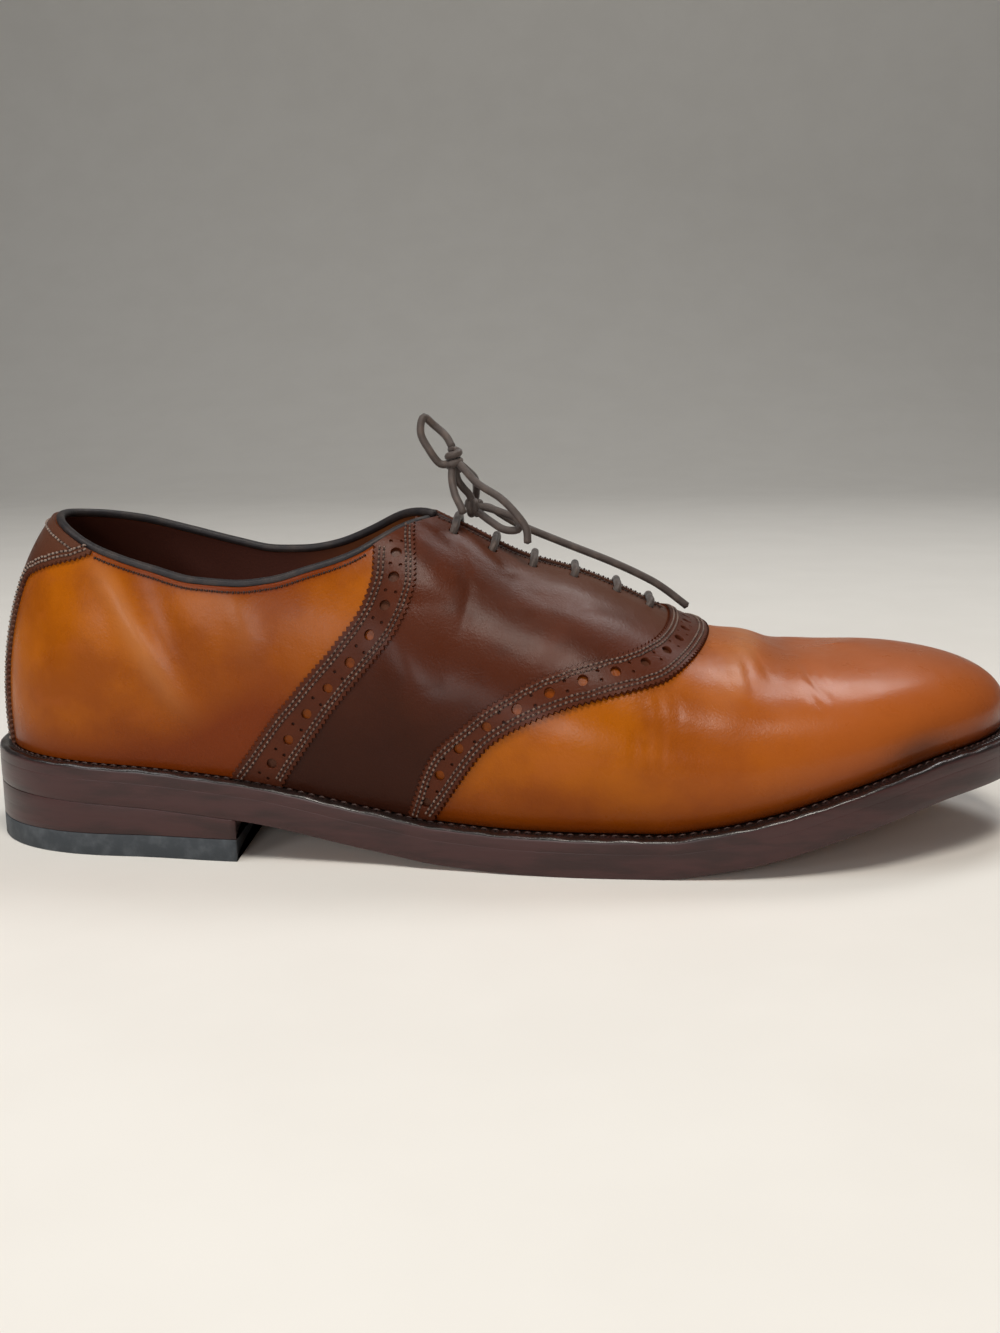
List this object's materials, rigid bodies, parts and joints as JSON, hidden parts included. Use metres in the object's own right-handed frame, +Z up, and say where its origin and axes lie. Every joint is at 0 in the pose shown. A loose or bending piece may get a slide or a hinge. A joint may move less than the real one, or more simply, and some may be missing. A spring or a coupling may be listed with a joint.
{
  "type": "saddle shoe",
  "caption": "Right lace-up saddle shoe with a dark panel over a tan upper, welted leather sole and stacked heel.",
  "frame": {"origin": "point on the floor under the middle of the heel, on the heel's lower face", "axes": "+X along the shoe towards the toe, +Y towards the wearer's left, the inner side of this right shoe, +Z up"},
  "size_m": [0.3119, 0.1137, 0.1246],
  "materials": {
    "sole_leather": "satin, stained plum brown",
    "stacked_leather": "satin, stained plum brown",
    "lift_rubber": "matt, worn",
    "welt_leather": "gloss, dark edge",
    "insole_leather": "matt",
    "tan_leather": "polished",
    "brown_leather": "polished",
    "tongue_leather": "satin",
    "binding_leather": "matt",
    "lace_cotton": "waxed cotton"
  },
  "bodies": {
    "root": {"outsole": "sole_leather", "heel_stack": "stacked_leather", "heel_top_lift": "lift_rubber", "welt": "welt_leather", "insole": "insole_leather", "upper": "tan_leather", "tongue": "tongue_leather", "saddle": "brown_leather", "backstay": "brown_leather", "collar_binding": "binding_leather", "lace_bar_1": "lace_cotton", "lace_bar_2": "lace_cotton", "lace_bar_3": "lace_cotton", "lace_bar_4": "lace_cotton", "lace_bar_5": "lace_cotton", "lace_bar_6": "lace_cotton", "lace_knot": "lace_cotton", "lace_crossing": "lace_cotton", "lace_riser": "lace_cotton", "lace_strand_outer": "lace_cotton", "lace_strand_inner": "lace_cotton", "lace_loop_rear": "lace_cotton", "lace_loop_front": "lace_cotton", "lace_end_long": "lace_cotton", "lace_end_short": "lace_cotton"}
  },
  "joints": []
}
